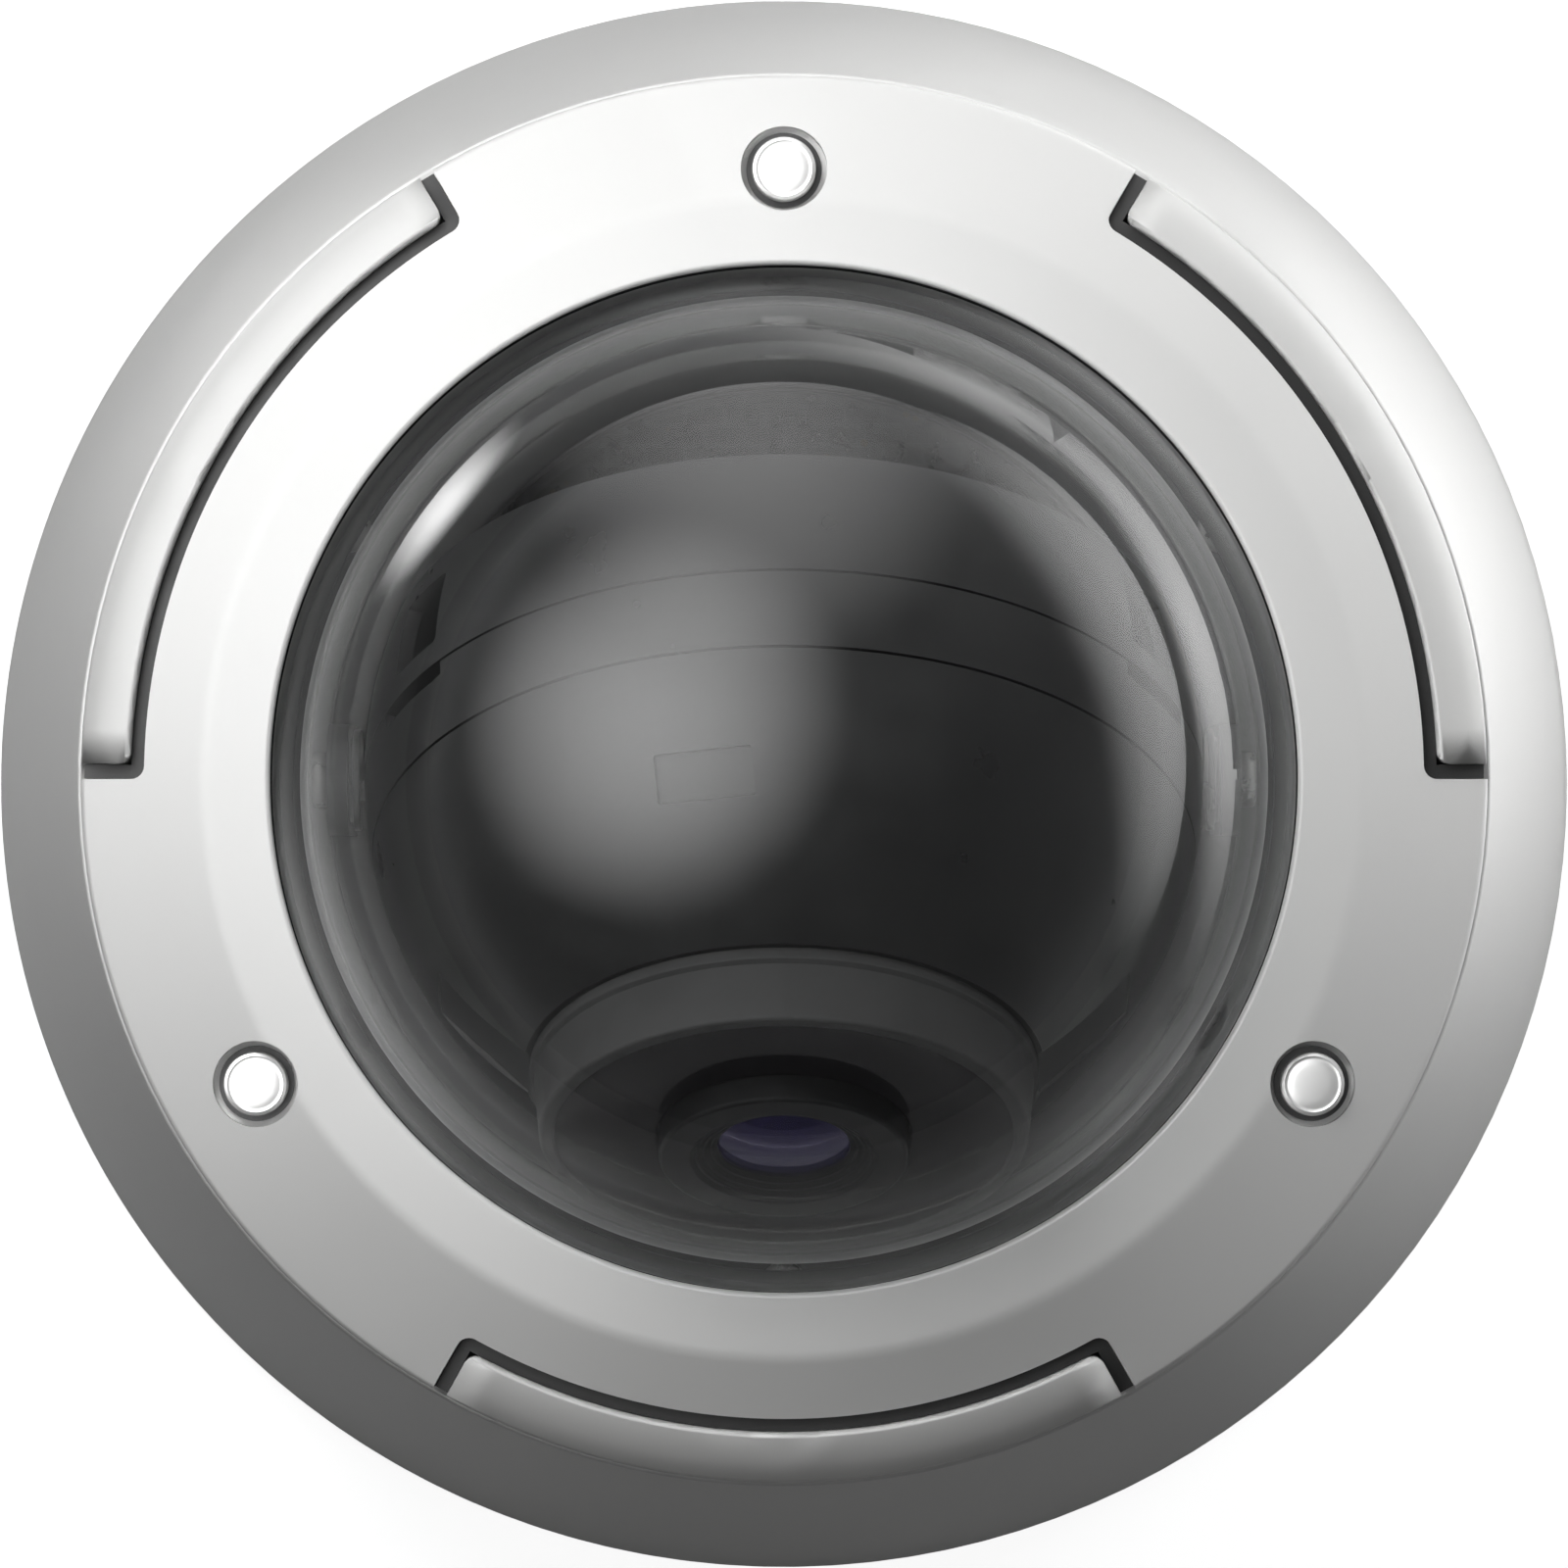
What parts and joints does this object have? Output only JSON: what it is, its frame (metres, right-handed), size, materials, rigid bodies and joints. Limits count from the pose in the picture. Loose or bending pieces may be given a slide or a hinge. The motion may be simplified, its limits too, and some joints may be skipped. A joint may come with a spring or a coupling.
{
  "type": "dome cctv camera",
  "caption": "Outdoor dome camera: cone-shaped housing, lugged cover with captive screws, clear dome over a panning, tilting and rolling black eyeball with a lens.",
  "frame": {"origin": "centre of the housing's wall face, on the dome's axis", "axes": "+Z out of the wall along the dome's axis, +Y towards the cover screw that is uppermost in use, lens aimed down towards -Y and out"},
  "size_m": [0.1796, 0.1796, 0.1161],
  "materials": {
    "housing_paint": "light grey satin powder coat on die-cast aluminium",
    "cover_paint": "light grey satin powder coat on die-cast aluminium",
    "clear_polycarbonate": "clear hard-coated polycarbonate",
    "seal_rubber": "black silicone rubber",
    "bracket_steel": "zinc plated sheet steel",
    "bright_steel": "polished stainless steel",
    "screw_steel": "plain stainless steel",
    "circuit_board": "black solder mask on glass fibre board",
    "connector_metal": "tinned steel shell",
    "connector_green": "green moulded nylon",
    "black_plastic": "black moulded nylon",
    "ball_plastic": "smooth black polycarbonate",
    "dark_grey_plastic": "dark grey moulded polycarbonate",
    "window_plastic": "near-black plastic that passes infrared",
    "button_white": "white acetal",
    "led_plastic": "clear epoxy",
    "desiccant_paper": "white breathable paper",
    "lens_glass": "violet coated optical glass",
    "filter_glass": "cyan infrared-cut glass",
    "lens_metal": "black anodised aluminium"
  },
  "bodies": {
    "base": {"housing": "housing_paint", "base_gasket": "seal_rubber", "cable_gland": "seal_rubber", "main_board": "circuit_board", "board_screws": "screw_steel", "network_socket": "connector_metal", "power_terminal": "connector_green", "card_slot": "connector_metal", "reset_button_body": "black_plastic", "status_led": "led_plastic", "board_chips": "black_plastic", "desiccant_pack": "desiccant_paper", "chassis_ring": "dark_grey_plastic", "pan_retainer": "dark_grey_plastic", "chassis_screws": "screw_steel"},
    "wall_bracket": {"mounting_bracket": "bracket_steel"},
    "card": {"memory_card": "black_plastic"},
    "button": {"reset_button": "button_white"},
    "pan": {"pan_ring": "dark_grey_plastic", "yoke_arm_right": "dark_grey_plastic", "yoke_arm_left": "dark_grey_plastic"},
    "tilt": {"tilt_ring": "ball_plastic", "friction_washers": "black_plastic", "pivot_screws": "screw_steel"},
    "eyeball": {"rear_shell": "ball_plastic", "front_shell": "ball_plastic", "shell_screws": "screw_steel", "lens_collar": "seal_rubber", "front_window": "window_plastic", "led_board": "circuit_board", "infrared_leds": "led_plastic", "light_baffle": "seal_rubber", "sensor_board": "circuit_board", "sensor_screws": "screw_steel", "image_sensor": "black_plastic", "filter_housing": "black_plastic", "lens_barrel": "lens_metal", "rear_lens": "lens_glass"},
    "filter": {"infrared_cut_filter": "filter_glass"},
    "zoom": {"zoom_cell": "lens_metal", "front_lens": "lens_glass"},
    "lid": {"cover": "cover_paint", "cover_seal": "seal_rubber", "screw_retainers": "screw_steel", "clear_dome": "clear_polycarbonate", "dome_gasket": "seal_rubber", "dome_clamp_ring": "black_plastic"},
    "washer_1": {"screw_washer_1": "black_plastic"},
    "screw_1": {"cover_screw_1": "bright_steel"},
    "washer_2": {"screw_washer_2": "black_plastic"},
    "screw_2": {"cover_screw_2": "bright_steel"},
    "washer_3": {"screw_washer_3": "black_plastic"},
    "screw_3": {"cover_screw_3": "bright_steel"}
  },
  "joints": [
    {"name": "bracket_twist", "type": "hinge", "parent": "base", "child": "wall_bracket", "pos_m": [0, 0, 0], "axis": [0, 0, 1], "range_deg": [0, 24]},
    {"name": "card_slide", "type": "slide", "parent": "base", "child": "card", "axis": [0, -1, 0], "range_m": [0, 0.013]},
    {"name": "reset_press", "type": "slide", "parent": "base", "child": "button", "axis": [0, 0, -1], "range_m": [0, 0.0004], "stiffness_N_per_m": 1500},
    {"name": "pan", "type": "hinge", "parent": "base", "child": "pan", "pos_m": [0, 0, 0.04], "axis": [0, 0, 1], "range_deg": [-175, 175]},
    {"name": "tilt", "type": "hinge", "parent": "pan", "child": "tilt", "pos_m": [0, 0, 0.061], "axis": [1, 0, 0], "range_deg": [-60, 10]},
    {"name": "roll", "type": "hinge", "parent": "tilt", "child": "eyeball", "pos_m": [0, 0, 0.061], "axis": [0, -0.866, 0.5], "range_deg": [-175, 175]},
    {"name": "filter_shift", "type": "slide", "parent": "eyeball", "child": "filter", "axis": [1, 0, 0], "range_m": [0, 0.0085]},
    {"name": "zoom_travel", "type": "slide", "parent": "eyeball", "child": "zoom", "axis": [0, -0.866, 0.5], "range_m": [-0.0015, 0.0015]},
    {"name": "lid_lift", "type": "slide", "parent": "base", "child": "lid", "axis": [0, 0, 1], "range_m": [0, 0.06]},
    {"name": "screw_1_rise", "type": "slide", "parent": "lid", "child": "washer_1", "axis": [0, 0, 1], "range_m": [0, 0.009]},
    {"name": "screw_1_turn", "type": "hinge", "parent": "washer_1", "child": "screw_1", "pos_m": [0, 0.0647, 0.07], "axis": [0, 0, 1], "range_deg": [0, 4629]},
    {"name": "screw_2_rise", "type": "slide", "parent": "lid", "child": "washer_2", "axis": [0, 0, 1], "range_m": [0, 0.009]},
    {"name": "screw_2_turn", "type": "hinge", "parent": "washer_2", "child": "screw_2", "pos_m": [-0.05603, -0.03235, 0.07], "axis": [0, 0, 1], "range_deg": [0, 4629]},
    {"name": "screw_3_rise", "type": "slide", "parent": "lid", "child": "washer_3", "axis": [0, 0, 1], "range_m": [0, 0.009]},
    {"name": "screw_3_turn", "type": "hinge", "parent": "washer_3", "child": "screw_3", "pos_m": [0.05603, -0.03235, 0.07], "axis": [0, 0, 1], "range_deg": [0, 4629]}
  ],
  "couplings": [
    {"joint": "screw_1_turn", "follows": "screw_1_rise", "rad_per_m": 8976},
    {"joint": "screw_2_turn", "follows": "screw_2_rise", "rad_per_m": 8976},
    {"joint": "screw_3_turn", "follows": "screw_3_rise", "rad_per_m": 8976}
  ]
}
